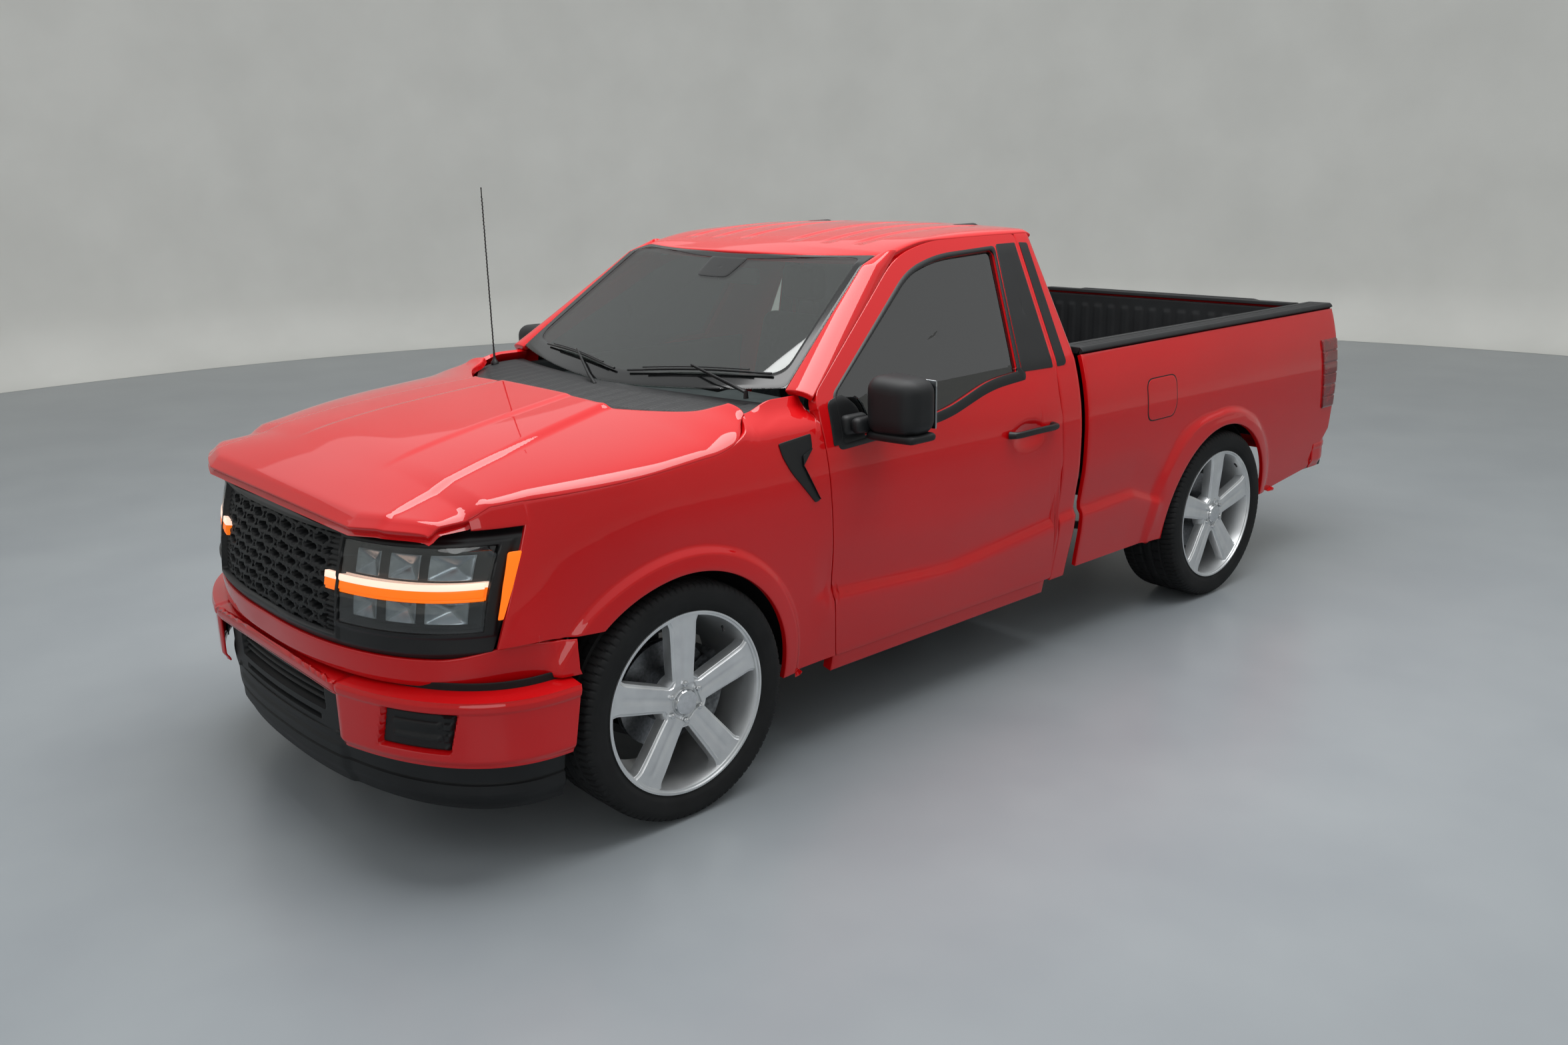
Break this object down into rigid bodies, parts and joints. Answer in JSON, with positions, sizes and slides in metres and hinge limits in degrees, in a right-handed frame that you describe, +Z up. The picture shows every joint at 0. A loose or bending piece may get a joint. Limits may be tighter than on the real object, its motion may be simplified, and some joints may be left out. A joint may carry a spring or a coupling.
{
  "type": "regular-cab pickup truck",
  "caption": "Lowered regular-cab short-bed pickup truck with opening hood, doors, tailgate and fuel door, steered front wheels and an open bed.",
  "frame": {"origin": "centre of the bounding box, on the ground under the truck", "axes": "+Z up, +Y towards the tailgate, +X towards the driver's (left) side; the nose looks along -Y"},
  "size_m": [2.43, 5.272, 1.935],
  "materials": {
    "red_paint": "glossy clear-coated red",
    "black_plastic": "fine grained, unpainted",
    "gloss_black": "smooth gloss black",
    "chassis_black": "satin black chassis coating",
    "cast_steel": "rough cast",
    "alloy": "machined silver",
    "exhaust_steel": "dull rolled steel",
    "tyre_rubber": "black rubber",
    "clear_glass": "clear laminated",
    "tinted_glass": "dark tinted",
    "seat_cloth": "dark grey woven cloth",
    "cabin_plastic": "soft-touch grained",
    "lamp_lens": "clear lens over a dark housing",
    "tail_lens": "dark red lens",
    "bedliner": "rough moulded liner"
  },
  "bodies": {
    "truck": {"frame": "chassis_black", "engine": "cast_steel", "driveline": "cast_steel", "exhaust": "exhaust_steel", "fuel_tank": "black_plastic", "rear_axle": "chassis_black", "front_suspension": "chassis_black", "spare_wheel": "tyre_rubber", "cab": "red_paint", "cab_glass": "clear_glass", "seats": "seat_cloth", "dashboard": "cabin_plastic", "front_fenders": "red_paint", "grille": "black_plastic", "headlamps": "lamp_lens", "front_bumper": "red_paint", "front_valance": "black_plastic", "cowl_panel": "black_plastic", "antenna": "black_plastic", "wheel_liners": "black_plastic", "bed": "bedliner", "bedsides": "red_paint", "bed_rail_caps": "black_plastic", "tail_lamps": "tail_lens", "rear_bumper": "red_paint"},
    "hood": {"hood": "red_paint"},
    "left_door": {"left_door": "red_paint", "left_door_glass": "tinted_glass", "left_mirror": "black_plastic"},
    "right_door": {"right_door": "red_paint", "right_door_glass": "tinted_glass", "right_mirror": "black_plastic"},
    "tailgate": {"tailgate": "red_paint"},
    "fuel_door": {"fuel_door": "red_paint"},
    "steering_wheel": {"steering_wheel": "cabin_plastic"},
    "left_knuckle": {"left_knuckle": "cast_steel"},
    "right_knuckle": {"right_knuckle": "cast_steel"},
    "front_left_wheel": {"front_left_tyre": "tyre_rubber", "front_left_rim": "alloy"},
    "front_right_wheel": {"front_right_tyre": "tyre_rubber", "front_right_rim": "alloy"},
    "rear_left_wheel": {"rear_left_tyre": "tyre_rubber", "rear_left_rim": "alloy"},
    "rear_right_wheel": {"rear_right_tyre": "tyre_rubber", "rear_right_rim": "alloy"}
  },
  "joints": [
    {"name": "hood_hinge", "type": "hinge", "parent": "truck", "child": "hood", "pos_m": [0, -1.345, 1.258], "axis": [-1, 0, 0], "range_deg": [0, 45]},
    {"name": "left_door_hinge", "type": "hinge", "parent": "truck", "child": "left_door", "pos_m": [1, -1.092, 0.8], "axis": [0, 0, -1], "range_deg": [0, 65]},
    {"name": "right_door_hinge", "type": "hinge", "parent": "truck", "child": "right_door", "pos_m": [-1, -1.092, 0.8], "axis": [0, 0, 1], "range_deg": [0, 65]},
    {"name": "tailgate_hinge", "type": "hinge", "parent": "truck", "child": "tailgate", "pos_m": [0, 2.42, 0.727], "axis": [-1, 0, 0], "range_deg": [0, 90]},
    {"name": "fuel_door_hinge", "type": "hinge", "parent": "truck", "child": "fuel_door", "pos_m": [1, 0.776, 1.008], "axis": [0, 0, -1], "range_deg": [0, 95]},
    {"name": "left_steer", "type": "hinge", "parent": "truck", "child": "left_knuckle", "pos_m": [0.79, -1.71, 0.39], "axis": [0, 0, 1], "range_deg": [-32, 32]},
    {"name": "right_steer", "type": "hinge", "parent": "truck", "child": "right_knuckle", "pos_m": [-0.79, -1.71, 0.39], "axis": [0, 0, 1], "range_deg": [-32, 32]},
    {"name": "steering_wheel_turn", "type": "hinge", "parent": "truck", "child": "steering_wheel", "pos_m": [0.372, -0.56, 1.085], "axis": [0, 0.9135, 0.4067], "range_deg": [-512, 512]},
    {"name": "front_left_spin", "type": "hinge", "parent": "left_knuckle", "child": "front_left_wheel", "pos_m": [0.8585, -1.71, 0.39], "axis": [1, 0, 0], "continuous": true},
    {"name": "front_right_spin", "type": "hinge", "parent": "right_knuckle", "child": "front_right_wheel", "pos_m": [-0.8585, -1.71, 0.39], "axis": [1, 0, 0], "continuous": true},
    {"name": "rear_left_spin", "type": "hinge", "parent": "truck", "child": "rear_left_wheel", "pos_m": [0.8585, 1.409, 0.39], "axis": [1, 0, 0], "continuous": true},
    {"name": "rear_right_spin", "type": "hinge", "parent": "truck", "child": "rear_right_wheel", "pos_m": [-0.8585, 1.409, 0.39], "axis": [1, 0, 0], "continuous": true}
  ],
  "couplings": [
    {"joint": "right_steer", "follows": "left_steer", "ratio": 1},
    {"joint": "steering_wheel_turn", "follows": "left_steer", "ratio": 16}
  ]
}
